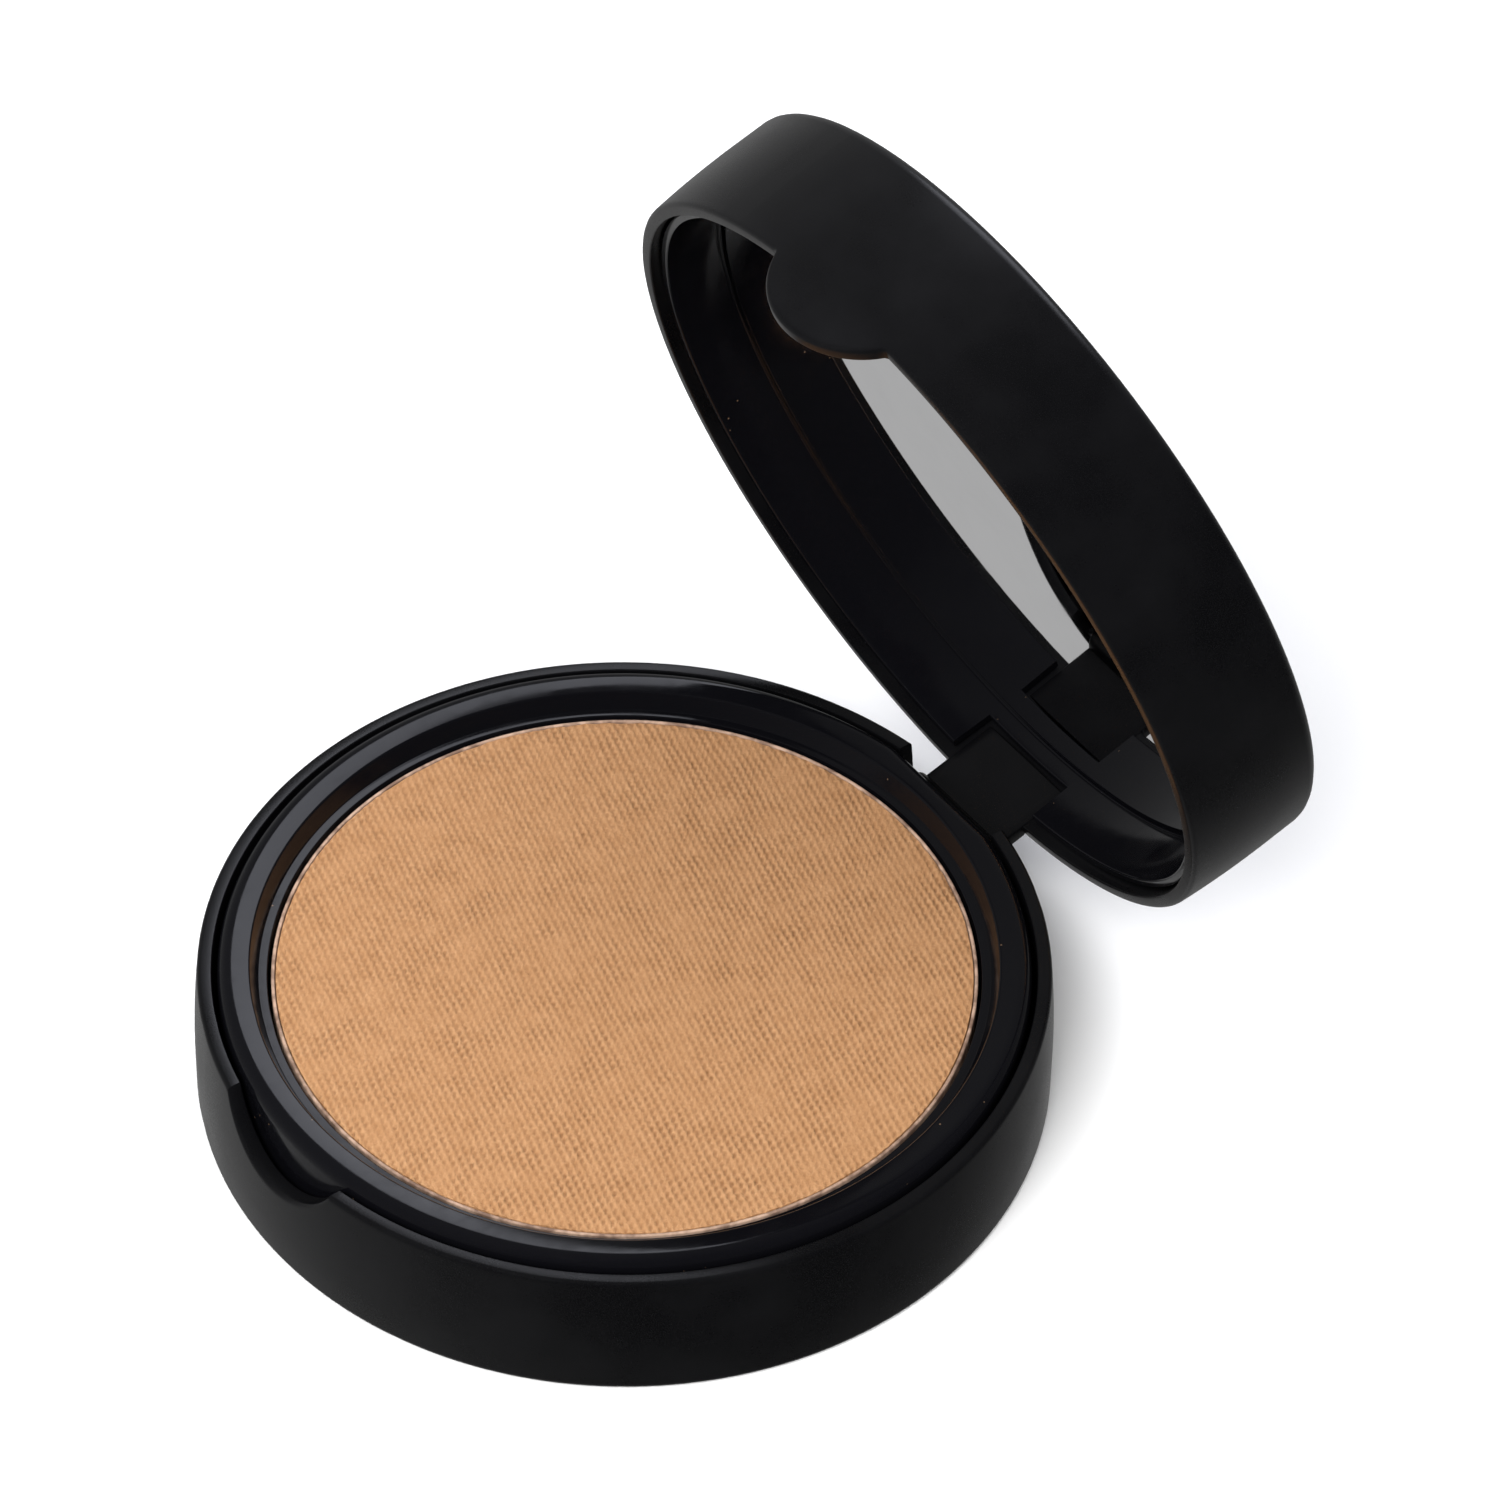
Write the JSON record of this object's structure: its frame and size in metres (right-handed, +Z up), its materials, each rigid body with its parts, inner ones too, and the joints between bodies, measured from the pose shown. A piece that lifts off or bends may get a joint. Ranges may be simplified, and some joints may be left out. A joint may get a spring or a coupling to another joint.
{
  "type": "powder compact",
  "caption": "Round powder compact: a pan of pressed powder in a raised glossy tray, under a deep mirrored lid on a pinned hinge.",
  "frame": {"origin": "centre of the underside, on the plane the compact rests on", "axes": "+Z up, hinge at the back (+Y) with its pin along X, opening tongue at the front (-Y)"},
  "size_m": [0.072, 0.0869, 0.0803],
  "materials": {
    "base_plastic": "satin black",
    "tray_plastic": "glossy black",
    "pan_metal": "pressed",
    "glue": "hot melt",
    "powder": "pressed powder with a fine cloth texture",
    "label": "blank matt film",
    "pin_steel": "drawn wire",
    "lid_plastic": "satin black",
    "liner_plastic": "semi-gloss black",
    "mirror_glass": "polished",
    "tape": "double-sided tape"
  },
  "bodies": {
    "base": {"base_shell": "base_plastic", "inner_tray": "tray_plastic", "powder_pan": "pan_metal", "pan_glue": "glue", "pressed_powder": "powder", "base_label": "label", "hinge_pin": "pin_steel"},
    "lid": {"lid_shell": "lid_plastic", "mirror_liner": "liner_plastic", "mirror": "mirror_glass", "mirror_tape": "tape"}
  },
  "joints": [
    {"name": "lid_hinge", "type": "hinge", "parent": "base", "child": "lid", "pos_m": [0, 0.0341, 0.00845], "axis": [-1, 0, 0], "range_deg": [-74, 36]}
  ]
}
